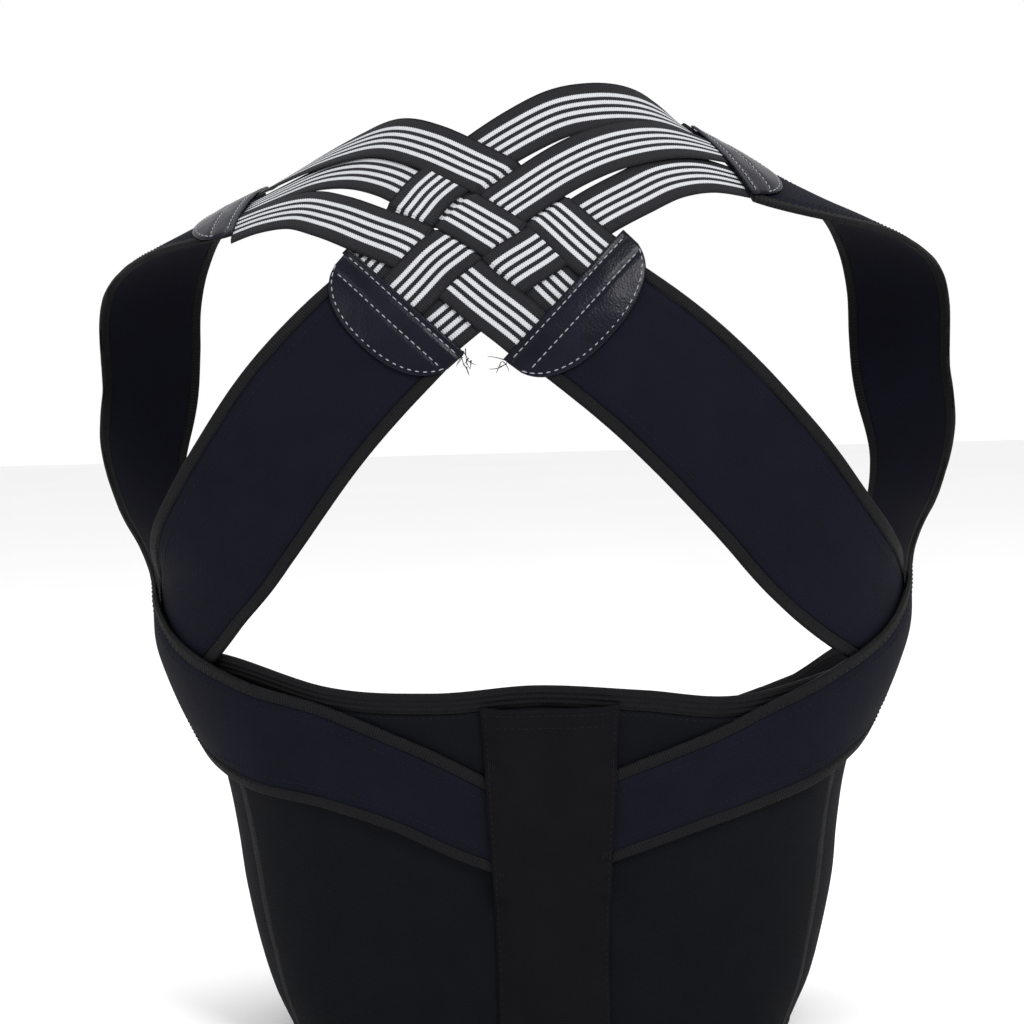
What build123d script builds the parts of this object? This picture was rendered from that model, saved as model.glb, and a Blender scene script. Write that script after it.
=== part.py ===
"""Posture back brace: a lumbar belt with a stay pocket, two padded cross straps, two padded body
straps and six woven elastic bands, shaped as they lie on the torso that wears them.

Millimetres. +Z is up, +X is the wearer's right and +Y is the way the wearer faces. The origin is
on the torso's axis, level with the belt's lower edge. Angles run round the axis from the middle
of the back, towards the wearer's right.
"""

from build123d import *
import math
import os

import numpy as np

# The torso at each height: height, half width, depth behind the axis, depth in front of it.
TORSO = np.array([
    (-40, 112, 86, 94), (0, 119, 88, 98), (25, 130, 87, 99), (50, 137, 87, 101),
    (75, 142, 89, 103), (100, 145, 92, 106), (125, 149, 97, 110), (147, 155, 101, 113),
    (170, 166, 106, 117), (195, 175, 112, 121), (228, 179, 119, 124), (262, 204, 124, 124),
    (300, 222, 127, 116), (335, 228, 125, 104), (365, 213, 118, 88), (388, 175, 108, 74),
    (405, 140, 97, 63), (422, 108, 86, 56), (440, 79, 76, 52), (462, 60, 66, 50),
    (500, 57, 62, 50),
], float)
ROUNDNESS = 2.35

# Layers of cloth, counted outwards from the torso.
SKIN = 0.6
GAP = 0.7
BELT_THICK = 3.0
STRAP_THICK = 2.5
BINDING_THICK = 3.0
BINDING_SINK = 0.1
BAND_THICK = 1.0
PATCH_THICK = 1.2
HOOK_THICK = 0.9
PAD_GAP = 0.1
SECOND_LAYER = SKIN + BELT_THICK + GAP
THIRD_LAYER = SECOND_LAYER + BINDING_THICK + GAP
PATCH_LAYER = 3.9
OVERLAP_LAYER = SECOND_LAYER + HOOK_THICK + 0.3

# Belt: heights of its upper edge by angle.
BELT_TOP = np.array([
    (-205, 133), (-180, 134), (-140, 142), (-120, 158), (-108, 180), (-85, 197), (-62, 197),
    (-45, 184), (-25, 181), (0, 184), (25, 180), (45, 175), (62, 183), (85, 193), (108, 180),
    (120, 158), (140, 142), (180, 134), (205, 133),
], float)
BELT_BOTTOM = np.array([(-205, 14), (-180, 12), (-108, 0), (108, 0), (180, 12), (205, 14)], float)
TRIM_HEIGHT = 10.0
BINDING_WIDTH = 6.0
SIDE_SEAM = 72.0
HINGE_ANGLE = 108.0
HINGE_GAP = 0.4
SEAM = 0.1
FLAP_END = 201.0
FLAP_RISE = (128.0, 152.0)
HINGE_OFFSET = 9.0
HINGE_HEIGHT = 190.0
HOOK_PAD_SPAN = (183.0, 199.0)
HOOK_PAD_INSET = 14.0

# Stay pocket in the middle of the back.
POCKET_MIDDLE = 5.5
POCKET_WIDTH = 57.0
POCKET_TOP = 175.0
POCKET_THICK = 1.6
STAY_WIDTH = 11.0
STAY_THICK = 1.2
STAY_SPACING = 20.0
STAY_SPAN = (14.0, 164.0)
STAY_LAYER = SECOND_LAYER + 0.6
TIP_LENGTH = 9.0
TIP_THICK = 2.0
TIP_WIDTH = 12.0
TIP_LAYER = SECOND_LAYER + 0.2
TIP_GAP = 0.2
POCKET_BOTTOM = 0.5
BACK_DEPTH = 95.0

# Elastic bands, numbered outwards from the neck, and where they cross.
BAND_WIDTH = 23.2
WEAVE_RISE = 1.7
WEAVE_TURN = 0.1
WEAVE_ROWS = 38
WEAVE_SPREAD = 5.0
WEAVE_STEPS = 9
BANDS = {
    "left_band_1": [(38, -116, 372), (25, -110, 383), (10, -102, 397), (-8, -93, 411),
                    (-26, -86, 421), (-43, -76, 429), (-64, -61, 435), (-86, -44, 429),
                    (-106, -28, 420), (-124, -14, 410)],
    "left_band_2": [(24, -122, 354), (14, -119, 363), (6, -116, 371), (-5, -111, 382),
                    (-20, -105, 392), (-36, -98, 402), (-60, -83, 418), (-80, -69, 423),
                    (-97, -57, 420), (-114, -50, 413), (-130, -44, 404)],
    "left_band_3": [(10, -125, 334), (-4, -123, 347), (-19, -120, 359), (-36, -114, 373),
                    (-53, -108, 384), (-69, -102, 391), (-88, -91, 399), (-104, -80, 403),
                    (-121, -73, 401), (-133, -71, 397)],
    "right_band_1": [(-80, -110, 368), (-70, -108, 378), (-62, -105, 387), (-52, -100, 397),
                     (-43, -93, 407), (-28, -86, 418), (-13, -81, 428), (0, -78, 436),
                     (17, -73, 444), (36, -65, 447), (54, -50, 445), (78, -25, 440)],
    "right_band_2": [(-64, -119, 353), (-50, -116, 366), (-40, -113, 376), (-29, -110, 384),
                     (-10, -101, 399), (1, -96, 406), (16, -89, 415), (34, -82, 424),
                     (51, -74, 429), (70, -62, 431), (90, -48, 428)],
    "right_band_3": [(-48, -123, 339), (-33, -122, 351), (-21, -119, 360), (-9, -116, 370),
                     (8, -111, 380), (18, -108, 387), (32, -103, 397), (50, -94, 406),
                     (67, -84, 414), (84, -74, 416), (100, -66, 410)],
}
BAND_STRETCH = 9.0

# Cross straps, from under the lower patch round the side, on to the front panel and its tab.
CROSS_WIDTH = [67, 69, 68, 65, 60, 54, 50, 50]
CROSS_STRAPS = {
    "left": [(-64, -119, 347), (-97, -117, 314), (-131, -103, 269), (-158, -75, 230),
             (-174, -35, 202), (-171, 5, 177), "front"],
    "right": [(26, -124, 352), (65, -122, 319), (103, -111, 278), (138, -91, 235),
              (167, -48, 206), (171, 0, 178), "front"],
}
CROSS_FRONT = [(148, 48, 149), (128, 78, 131), (98, 98, 116), (76, 106, 107)]
CROSS_STRETCH = 14.0
TAB_SEAM = (128, 78, 131)
SEAM_GAP = 0.8
TAB_RISE = 1.1
TAB_THICK = 1.8
HOOKS_WIDTH = 40.0
HOOKS_INSET = (8.0, 4.0)
PEEL_OFFSET = 7.0

# Where the straps change layers: a height or a distance from the middle, and over how much.
CLIMB_ON_BELT = (238.0, 26.0)
CLIMB_ON_CROSS = (96.0, 34.0)
LEAVE_CROSS = (216.0, 36.0)

# Body straps, from the shoulder down the front, under the arm and round the ribs to the pocket.
BODY_WIDTH = [66, 64, 60, 58, 60, 64, 66, 58, 46, 42]
BODY_FRONT = [(184, 44, 352), (190, 60, 318), (197, 54, 282), (190, 38, 248), (181, 10, 216)]
BODY_STRAPS = {
    "left": [(-120, -46, 409), (-138, -38, 402), (-155, -16, 392), (-170, 14, 378), "front",
             (-168, -32, 181), (-141, -66, 163), (-95, -90, 149), (-60, -96, 136),
             (-27, -98, 119), (-6, -99, 110)],
    "right": [(90, -46, 429), (112, -49, 414), (134, -38, 404), (154, -14, 393), (170, 14, 378),
              "front", (168, -32, 182), (140, -68, 160), (100, -89, 142), (70, -93, 133),
              (38, -96, 122), (14, -98, 113)],
}
BODY_STRETCH = 26.0
POCKET_TUCK = {"left": 15.0, "right": 26.0}

# Leather patches: the straight edge of each, which the bands run under.
PATCHES = {
    "left_lower_patch": [(-79, -106, 382), (-54, -118, 359), (-28, -124, 335)],
    "right_lower_patch": [(-11, -125, 332), (17, -119, 360), (44, -107, 387)],
    "left_shoulder_patch": [(-120, -8, 411), (-127, -42, 404), (-134, -76, 391)],
    "right_shoulder_patch": [(105, -77, 403), (91, -46, 427), (80, -20, 438)],
}
PATCH_CORNER = 3.0
PATCH_DEPTH = 28.5
PATCH_POWER = 2.3
BAND_TUCK = 2.2
STRAP_TUCK = 3.0

FINE_ROWS = 260
SIDE_STEPS = 4
SIDES = (("left", -1), ("right", 1))


def slopes(places, values):
    """Returns the slope at each place of a smooth curve through the values."""
    return np.gradient(values, places, axis=0)


def smooth_curve(places, values, at):
    """Reads a smooth curve through the values at any places within its range."""
    at = np.clip(at, places[0], places[-1])
    k = np.clip(np.searchsorted(places, at) - 1, 0, len(places) - 2)
    span = places[k + 1] - places[k]
    t = (at - places[k]) / span
    m = slopes(places, values)
    if values.ndim > 1:
        t, span = t[..., None], span[..., None]
    return ((2 * t**3 - 3 * t**2 + 1) * values[k] + (t**3 - 2 * t**2 + t) * span * m[k]
            + (3 * t**2 - 2 * t**3) * values[k + 1] + (t**3 - t**2) * span * m[k + 1])


def ease(t):
    """Rises smoothly from 0 to 1 as t does."""
    t = np.clip(t, 0, 1)
    return t * t * (3 - 2 * t)


def torso_depth(p):
    """Is 0 on the torso, negative inside it and positive outside."""
    half, back, front = smooth_curve(TORSO[:, 0], TORSO[:, 1:], p[..., 2]).T
    half, back, front = half.T, back.T, front.T
    depth = np.where(p[..., 1] < 0, back, front)
    ring = (np.abs(p[..., 0]) / half)**ROUNDNESS + (np.abs(p[..., 1]) / depth)**ROUNDNESS
    return ring**(1 / ROUNDNESS) - 1


def torso_slope(p, step=0.5):
    """Returns how fast the depth grows along each axis."""
    axes = np.eye(3) * step
    return np.stack([(torso_depth(p + a) - torso_depth(p - a)) / (2 * step) for a in axes], -1)


def outwards(p):
    """Returns the torso's unit normal at each point."""
    slope = torso_slope(p)
    return slope / np.linalg.norm(slope, axis=-1, keepdims=True)


def on_torso(p):
    """Moves each point on to the torso's surface."""
    p = np.array(p, float)
    for _ in range(6):
        slope = torso_slope(p)
        p = p - slope * (torso_depth(p) / (slope**2).sum(-1))[..., None]
    return p


def ring_point(angle, height):
    """Returns the torso's surface at an angle round the axis and a height."""
    turn = np.radians(angle)
    aim = np.stack([np.sin(turn), -np.cos(turn), np.zeros_like(turn)], -1)
    unit = aim + np.stack([0 * turn, 0 * turn, height], -1)
    reach = 1 / (torso_depth(unit) + 1)
    return aim * reach[..., None] + np.stack([0 * turn, 0 * turn, height], -1)


def route_points(route, count):
    """Spaces points evenly along a smooth route on the torso, and gives their distances."""
    route = np.array(route, float)
    chords = np.concatenate([[0], np.cumsum(np.linalg.norm(np.diff(route, axis=0), axis=1))])
    line = on_torso(smooth_curve(chords, route, np.linspace(0, chords[-1], 400)))
    run = np.concatenate([[0], np.cumsum(np.linalg.norm(np.diff(line, axis=0), axis=1))])
    even = np.linspace(0, run[-1], count)
    points = np.stack([np.interp(even, run, line[:, i]) for i in range(3)], -1)
    return on_torso(points), even


def ribbon(route, left, right, count=40, across=7):
    """Lays a ribbon along a route: a grid of torso points from its left edge to its right one."""
    middle, run = route_points(route, count)
    along = np.gradient(middle, run, axis=0)
    side = np.cross(along, outwards(middle))
    side /= np.linalg.norm(side, axis=-1, keepdims=True)
    share = run / run[-1]
    lines = []
    for part in np.linspace(0, 1, across):
        reach = part * right(share) - (1 - part) * left(share)
        line = middle
        for _ in range(SIDE_STEPS):
            line = on_torso(line + side * (reach / SIDE_STEPS)[:, None])
        lines.append(line)
    return np.stack(lines, 1), run


def stretched(route, before, after):
    """Lengthens a route straight on at its two ends."""
    route = [np.array(p, float) for p in route]
    first, last = route[0] - route[1], route[-1] - route[-2]
    route[0] = route[0] + first / np.linalg.norm(first) * before
    route[-1] = route[-1] + last / np.linalg.norm(last) * after
    return route


def row_at(place, value):
    """Finds the row, with its fraction, where each lengthwise line first reaches a place."""
    after = np.argmax(place >= value, axis=0)
    before = np.maximum(after - 1, 0)
    lines = np.arange(place.shape[1])
    step = place[after, lines] - place[before, lines]
    return before + np.clip((value - place[before, lines]) / np.where(step == 0, 1, step), 0, 1)


def cut(grid, first, last, rows):
    """Keeps a grid between two rows of each lengthwise line, with a count of even rows or with
    rows at given shares of the length."""
    shares = np.linspace(0, 1, rows) if isinstance(rows, int) else np.array(rows, float)
    rows = first + (last - first) * shares[:, None]
    rows = np.broadcast_to(rows, (len(shares), grid.shape[1]))
    whole = np.clip(rows.astype(int), 0, len(grid) - 2)
    part = (rows - whole)[..., None]
    lines = np.arange(grid.shape[1])
    return grid[whole, lines] * (1 - part) + grid[whole + 1, lines] * part


def beyond(p, patch):
    """Returns how far past a patch's straight edge each point is, towards its half moon."""
    first, middle, last = on_torso(np.array(PATCHES[patch], float))
    aim = np.cross(last - first, outwards(middle))
    return (p - middle) @ (aim / np.linalg.norm(aim))


def widths(values):
    """Turns a list of widths into a half width at any share of the route."""
    values = np.array(values, float) / 2
    return lambda share: smooth_curve(np.linspace(0, 1, len(values)), values, share)


def steady(value):
    """Gives the same distance all along a route."""
    return lambda share: np.full_like(share, value)


def panel(start, end, low, high, count=40, across=10):
    """Returns a grid of torso points between two angles, from a lower to an upper height."""
    angles = np.linspace(start, end, count)
    share = np.linspace(0, 1, across)
    bottom, top = low(angles), high(angles)
    heights = bottom[:, None] + (top - bottom)[:, None] * share
    return ring_point(angles[:, None] + 0 * heights, heights)


def facets(grid, flip):
    """Returns the two triangles of each cell of a grid of points."""
    found = []
    for near, far in zip(grid[:-1], grid[1:]):
        for k in range(len(near) - 1):
            found.append((near[k], far[k], far[k + 1]))
            found.append((near[k], far[k + 1], near[k + 1]))
    return [corners[::-1] for corners in found] if flip else found


def cloth(base, lift, thick):
    """Makes the closed solid of a cloth layer that lies at a height over the torso."""
    normal = outwards(base)
    lift = np.broadcast_to(np.asarray(lift, float), base.shape[:2])[..., None]
    inner = base + normal * lift
    outer = base + normal * (lift + thick)
    corners = facets(inner, True) + facets(outer, False)
    corners += facets(np.stack([inner[0], outer[0]]), True)
    corners += facets(np.stack([inner[-1], outer[-1]]), False)
    corners += facets(np.stack([inner[:, 0], outer[:, 0]]), False)
    corners += facets(np.stack([inner[:, -1], outer[:, -1]]), True)
    faces = [Face(Wire.make_polygon([Vector(*p) for p in three])) for three in corners]
    solid = Solid(Shell(faces))
    if solid.volume < 0:
        solid = Solid(solid.wrapped.Reversed())
    return solid


def belt_top(angle):
    """Returns the height of the belt's upper edge at an angle."""
    return smooth_curve(BELT_TOP[:, 0], BELT_TOP[:, 1], angle)


def belt_bottom(angle):
    """Returns the height of the belt's lower edge at an angle."""
    return smooth_curve(BELT_BOTTOM[:, 0], BELT_BOTTOM[:, 1], angle)


def angle_of(p):
    """Returns the angle round the axis, in degrees from the middle of the back."""
    return np.degrees(np.arctan2(p[..., 0], -p[..., 1]))


def flap_rise(angle):
    """Returns how far the outer front panel stands off the belt's lane at an angle."""
    start, end = FLAP_RISE
    return (OVERLAP_LAYER - SKIN) * ease((angle - start) / (end - start))


def above_hem(angle):
    """Returns where the belt's cloth starts, above the lower edge's binding."""
    return belt_bottom(angle) + BINDING_WIDTH + SEAM


def below_hem(angle):
    """Returns where the lower edge's binding ends."""
    return belt_bottom(angle) + BINDING_WIDTH


def below_trim(angle):
    """Returns where the cloth ends, below the wide elastic trim of the back and sides."""
    return belt_top(angle) - TRIM_HEIGHT - SEAM


def above_trim(angle):
    """Returns where the elastic trim starts."""
    return belt_top(angle) - TRIM_HEIGHT


def below_edge(angle):
    """Returns where a front panel's cloth ends, below its upper edge's binding."""
    return belt_top(angle) - BINDING_WIDTH - SEAM


def above_edge(angle):
    """Returns where the upper edge's binding starts on a front panel."""
    return belt_top(angle) - BINDING_WIDTH


def belt_strip(start, end, low, high, rise=None, count=24, across=12):
    """Makes a strip of belt cloth between two angles and two edges."""
    base = panel(start, end, low, high, count, across)
    lift = SKIN
    if rise:
        lift = SKIN + rise(np.linspace(start, end, count))[:, None]
    return cloth(base, lift, BELT_THICK)


def belt_parts():
    """Makes the belt's back and side panels with the trim along both edges."""
    end = HINGE_ANGLE - HINGE_GAP
    inner = SIDE_SEAM - SEAM
    back = belt_strip(-inner, inner, above_hem, below_trim, count=28)
    left = belt_strip(-end, -SIDE_SEAM, above_hem, below_trim, count=9)
    right = belt_strip(SIDE_SEAM, end, above_hem, below_trim, count=9)
    trim = belt_strip(-end, end, above_trim, belt_top, count=60, across=2)
    hem = belt_strip(-end, end, belt_bottom, below_hem, count=60, across=2)
    return {"back_panel": back, "left_side_panel": left, "right_side_panel": right,
            "belt_top_trim": trim, "belt_bottom_binding": hem}


def pad_bottom(angle):
    """Returns the lower edge of the closure's hook pad."""
    return belt_bottom(angle) + HOOK_PAD_INSET


def pad_top(angle):
    """Returns the upper edge of the closure's hook pad."""
    return belt_top(angle) - HOOK_PAD_INSET


def front_parts():
    """Makes the two front panels, their edge binding and the closure's hook pad."""
    parts = {}
    for side, sign in SIDES:
        rise = flap_rise if side == "right" else None
        span = (sign * (HINGE_ANGLE + HINGE_GAP), sign * FLAP_END)
        parts[side + "_front_panel"] = belt_strip(*span, above_hem, below_edge, rise)
        top = belt_strip(*span, above_edge, belt_top, rise, across=2)
        bottom = belt_strip(*span, belt_bottom, below_hem, rise, across=2)
        parts[side + "_front_binding"] = Compound(children=[top, bottom])
    pad = panel(*HOOK_PAD_SPAN, pad_bottom, pad_top, 6, 5)
    parts["front_hook_pad"] = cloth(pad, SECOND_LAYER + PAD_GAP, HOOK_THICK)
    return parts


def upright(middle, width, low, high, across, count):
    """Returns a grid of torso points in the middle of the back, from side to side and up."""
    xs = np.linspace(middle - width / 2, middle + width / 2, across)
    zs = np.linspace(low, high, count)
    grid_x, grid_z = np.meshgrid(xs, zs, indexing="ij")
    return ring_point(np.degrees(np.arctan2(grid_x, BACK_DEPTH + 0 * grid_x)), grid_z)


def pocket_parts():
    """Makes the pocket's cover and the two sprung steel stays with plastic tips inside it."""
    cover = upright(POCKET_MIDDLE, POCKET_WIDTH, POCKET_BOTTOM, POCKET_TOP, 8, 20)
    parts = {"stay_pocket": cloth(cover, THIRD_LAYER, POCKET_THICK)}
    tips = []
    low, high = STAY_SPAN
    for side, sign in SIDES:
        middle = POCKET_MIDDLE + sign * STAY_SPACING / 2
        stay = upright(middle, STAY_WIDTH, low, high, 3, 16)
        parts[side + "_stay"] = cloth(stay, STAY_LAYER, STAY_THICK)
        lower = upright(middle, TIP_WIDTH, low - TIP_LENGTH, low - TIP_GAP, 3, 2)
        upper = upright(middle, TIP_WIDTH, high + TIP_GAP, high + TIP_LENGTH, 3, 2)
        tips += [cloth(lower, TIP_LAYER, TIP_THICK), cloth(upper, TIP_LAYER, TIP_THICK)]
    parts["stay_tips"] = Compound(children=tips)
    return parts


def inset(half, distance):
    """Returns a half width less a distance."""
    return lambda share: half(share) - distance


def opposite(half):
    """Returns a half width measured to the other side."""
    return lambda share: -half(share)


def strap_with_binding(route, half, lift, ends, count, across=5):
    """Makes a padded strap and the binding along its two edges, cut where its ends say."""
    near, fold = inset(half, BINDING_WIDTH + SEAM), opposite(inset(half, BINDING_WIDTH))
    base, _ = ribbon(route, near, near, FINE_ROWS, across)
    base = cut(base, *ends(base), count)
    strap = cloth(base, lift(base), STRAP_THICK)
    edges = []
    for pair in ((half, fold), (fold, half)):
        strip, _ = ribbon(route, *pair, FINE_ROWS, 2)
        strip = cut(strip, *ends(strip), count)
        edges.append(cloth(strip, lift(strip) - BINDING_SINK, BINDING_THICK - 2 * BINDING_SINK))
    return strap, Compound(children=edges)


def cross_lift(p):
    """A cross strap lies on the torso until it climbs over the belt's upper edge."""
    start, fall = CLIMB_ON_BELT
    return SKIN + (SECOND_LAYER - SKIN) * ease((start - p[..., 2]) / fall)


def body_lift(p):
    """A body strap climbs from the belt on to the cross strap, and comes off both in front."""
    start, spread = CLIMB_ON_CROSS
    lift = SECOND_LAYER + (THIRD_LAYER - SECOND_LAYER) * ease((np.abs(p[..., 0]) - start) / spread)
    start, spread = LEAVE_CROSS
    return lift + (SKIN - lift) * ease((p[..., 2] - start) / spread)


def whole_route(route, front, sign):
    """Puts the front part, which both sides share, into one side's route."""
    at = route.index("front")
    return route[:at] + [(x * sign, y, z) for x, y, z in front] + route[at + 1:]


def cross_route(side, sign):
    """Returns the whole route of a cross strap, with the part under its patch."""
    return stretched(whole_route(CROSS_STRAPS[side], CROSS_FRONT, sign), CROSS_STRETCH, 0)


def cross_straps():
    """Makes the cross straps from their patches to the front panels' hinge lines."""
    parts = {}
    for side, sign in SIDES:
        def ends(grid):
            start = row_at(beyond(grid, side + "_lower_patch"), STRAP_TUCK)
            return start, row_at(np.abs(angle_of(grid)), HINGE_ANGLE - HINGE_GAP)
        strap, binding = strap_with_binding(cross_route(side, sign), widths(CROSS_WIDTH),
                                            cross_lift, ends, 26, 6)
        parts[side + "_cross_strap"] = strap
        parts[side + "_cross_binding"] = binding
    return parts


def tab_lift(p):
    """A tab lies on the front panel under it."""
    angle = angle_of(p)
    return SECOND_LAYER + np.where(angle > 0, flap_rise(angle), 0)


def seam_row(route, sign):
    """Finds the row of a cross strap's route where its tab starts, and the rows per millimetre."""
    middle, run = route_points(route, FINE_ROWS)
    seam = np.array(TAB_SEAM, float) * (sign, 1, 1)
    return np.linalg.norm(middle - seam, axis=1).argmin(), (FINE_ROWS - 1) / run[-1]


def tab_parts():
    """Makes each cross strap's end on the front panel, its hook tab and the tab's hook pad."""
    parts = {}
    for side, sign in SIDES:
        route = cross_route(side, sign)
        seam, per_mm = seam_row(route, sign)
        half = widths(CROSS_WIDTH)
        grid, _ = ribbon(route, half, half, FINE_ROWS, 5)
        hinge = row_at(np.abs(angle_of(grid)), HINGE_ANGLE + HINGE_GAP)
        end = cut(grid, hinge, seam - SEAM_GAP * per_mm, 6)
        parts[side + "_strap_end"] = cloth(end, tab_lift(end), STRAP_THICK)
        tab = cut(grid, seam + SEAM_GAP * per_mm, FINE_ROWS - 1.0, 12)
        parts[side + "_hook_tab"] = cloth(tab, tab_lift(tab) + TAB_RISE, TAB_THICK)
        narrow, _ = ribbon(route, steady(HOOKS_WIDTH / 2), steady(HOOKS_WIDTH / 2), FINE_ROWS, 5)
        before, after = HOOKS_INSET
        pad = cut(narrow, seam + before * per_mm, FINE_ROWS - 1 - after * per_mm, 8)
        parts[side + "_tab_hooks"] = cloth(pad, tab_lift(pad) + PAD_GAP, HOOK_THICK)
    return parts


def body_straps():
    """Makes the body straps from the shoulder patches to the stay pocket."""
    parts = {}
    for side, sign in SIDES:
        def ends(grid):
            start = row_at(beyond(grid, side + "_shoulder_patch"), STRAP_TUCK)
            return start, row_at(-sign * grid[..., 0], -POCKET_TUCK[side])
        route = stretched(whole_route(BODY_STRAPS[side], BODY_FRONT, sign), BODY_STRETCH, 0)
        strap, binding = strap_with_binding(route, widths(BODY_WIDTH), body_lift, ends, 52)
        parts[side + "_body_strap"] = strap
        parts[side + "_body_binding"] = binding
    return parts


def crossings(name, lines):
    """Finds where the other side's three bands cross a band, and whether it passes over them."""
    points, run = lines[name]
    side, index = name.split("_band_")
    other = "right" if side == "left" else "left"
    found = []
    for k in (1, 2, 3):
        crossed = f"{other}_band_{k}"
        apart = np.linalg.norm(points[:, None] - lines[crossed][0][None], axis=-1).min(1)
        over = (int(index) + k) % 2 == 0
        found.append((run[apart.argmin()], over if side == "left" else not over, crossed))
    return sorted(found)


def weave_lift(points, run, name, lines):
    """Raises a band over some of the bands it crosses and lowers it under the others."""
    found = crossings(name, lines)
    apart = {}
    for _, _, crossed in found:
        ways = points[..., None, :] - lines[crossed][0]
        apart[crossed] = np.linalg.norm(ways, axis=-1).min(-1)
    lift = np.full(points.shape[:-1], SKIN + WEAVE_RISE * found[0][1])
    for (before, was_over, first), (after, is_over, second) in zip(found, found[1:]):
        share = apart[first] / (apart[first] + apart[second])
        share = np.where(run < before, 0, np.where(run > after, 1, share))
        turn = ease((share - 0.5) / WEAVE_TURN + 0.5)
        lift = lift + WEAVE_RISE * (int(is_over) - int(was_over)) * turn
    return lift


def weave_rows(run, name, lines):
    """Returns the share of a band's length at each of its rows, closer where it changes height."""
    places = [run.min() + np.ptp(run) * np.linspace(0, 1, WEAVE_ROWS)]
    found = crossings(name, lines)
    for (before, *_), (after, *_) in zip(found, found[1:]):
        places.append((before + after) / 2 + np.linspace(-WEAVE_SPREAD, WEAVE_SPREAD, WEAVE_STEPS))
    places = np.sort(np.concatenate(places))
    keep = np.concatenate([[True], np.diff(places) > WEAVE_SPREAD / WEAVE_STEPS])
    keep[-1] = True
    return (places[keep] - run.min()) / np.ptp(run)


def bands():
    """Makes the six woven bands, from under a lower patch to under a shoulder patch."""
    parts = {}
    lines = {name: route_points(route, FINE_ROWS) for name, route in BANDS.items()}
    half = steady(BAND_WIDTH / 2)
    for name, route in BANDS.items():
        side = name.split("_")[0]
        other = "right" if side == "left" else "left"
        base, run = ribbon(stretched(route, BAND_STRETCH, BAND_STRETCH), half, half, FINE_ROWS, 4)
        start = row_at(-beyond(base, other + "_lower_patch"), -BAND_TUCK)
        end = row_at(beyond(base, side + "_shoulder_patch"), BAND_TUCK)
        run = np.broadcast_to(run[:, None, None] - BAND_STRETCH, (*base.shape[:2], 1))
        base = np.concatenate([base, run], -1)
        base = cut(base, start, end, weave_rows(cut(base, start, end, (0, 1))[:, 1, 3], name, lines))
        points, run = base[..., :3], base[..., 3]
        parts[name] = cloth(points, weave_lift(points, run, name, lines), BAND_THICK)
    return parts


def patch_arc(share):
    """Returns how deep a patch's half moon is along its straight edge."""
    bulge = np.abs(2 * share - 1)**PATCH_POWER
    return PATCH_CORNER + (PATCH_DEPTH - PATCH_CORNER) * (1 - bulge)**(1 / PATCH_POWER)


def patches():
    """Makes the half-moon leather patches that join the bands to the straps."""
    parts = {}
    for name, edge in PATCHES.items():
        base, _ = ribbon(edge, steady(0.0), patch_arc, 20, 5)
        parts[name] = cloth(base, PATCH_LAYER, PATCH_THICK)
    return parts


def hinge_line():
    """Returns two points on the right front panel's hinge axis, outside the cloth."""
    ends = ring_point(np.array([HINGE_ANGLE, HINGE_ANGLE]), np.array([0.0, HINGE_HEIGHT]))
    aim = np.array([math.sin(math.radians(HINGE_ANGLE)), -math.cos(math.radians(HINGE_ANGLE)), 0])
    return ends + aim * HINGE_OFFSET


def peel_line():
    """Returns two points on the right hook tab's hinge axis, outside the cloth."""
    route = cross_route("right", 1)
    seam, _ = seam_row(route, 1)
    grid, _ = ribbon(route, widths(CROSS_WIDTH), widths(CROSS_WIDTH), FINE_ROWS, 3)
    row = grid[seam] + outwards(grid[seam]) * (SECOND_LAYER + PEEL_OFFSET)
    ends = row[[0, -1]]
    return ends[ends[:, 2].argsort()]


os.makedirs("parts", exist_ok=True)
ALL = {**belt_parts(), **front_parts(), **pocket_parts(), **cross_straps(), **tab_parts(),
       **body_straps(), **bands(), **patches()}
for node, shape in ALL.items():
    export_step(shape, f"parts/{node}.step")
print("front hinge", hinge_line().round(1).tolist())
print("peel hinge", peel_line().round(1).tolist())
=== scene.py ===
"""A posture back brace, seen from behind as it lies on a torso: detailed cloth, elastic, leather
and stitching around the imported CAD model. Lengths in the settings are millimetres, and MM turns
them into metres where a mesh is made.
"""

import math

import bpy
import numpy as np
from mathutils import Matrix, Vector


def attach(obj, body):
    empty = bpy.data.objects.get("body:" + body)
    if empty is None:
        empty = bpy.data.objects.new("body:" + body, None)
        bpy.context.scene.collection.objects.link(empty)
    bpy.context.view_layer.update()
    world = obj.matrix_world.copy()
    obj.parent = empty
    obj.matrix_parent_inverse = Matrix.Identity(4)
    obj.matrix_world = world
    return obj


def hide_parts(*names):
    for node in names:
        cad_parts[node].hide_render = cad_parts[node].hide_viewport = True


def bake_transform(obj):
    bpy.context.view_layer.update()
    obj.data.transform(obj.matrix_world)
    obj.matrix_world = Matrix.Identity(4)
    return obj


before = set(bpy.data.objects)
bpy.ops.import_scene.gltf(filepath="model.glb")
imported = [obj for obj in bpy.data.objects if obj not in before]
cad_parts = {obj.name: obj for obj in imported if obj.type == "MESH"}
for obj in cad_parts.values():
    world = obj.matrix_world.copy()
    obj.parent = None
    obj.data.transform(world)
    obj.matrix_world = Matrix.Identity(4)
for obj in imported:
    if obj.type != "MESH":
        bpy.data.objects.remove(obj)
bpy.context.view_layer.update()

MM = 0.001

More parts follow.
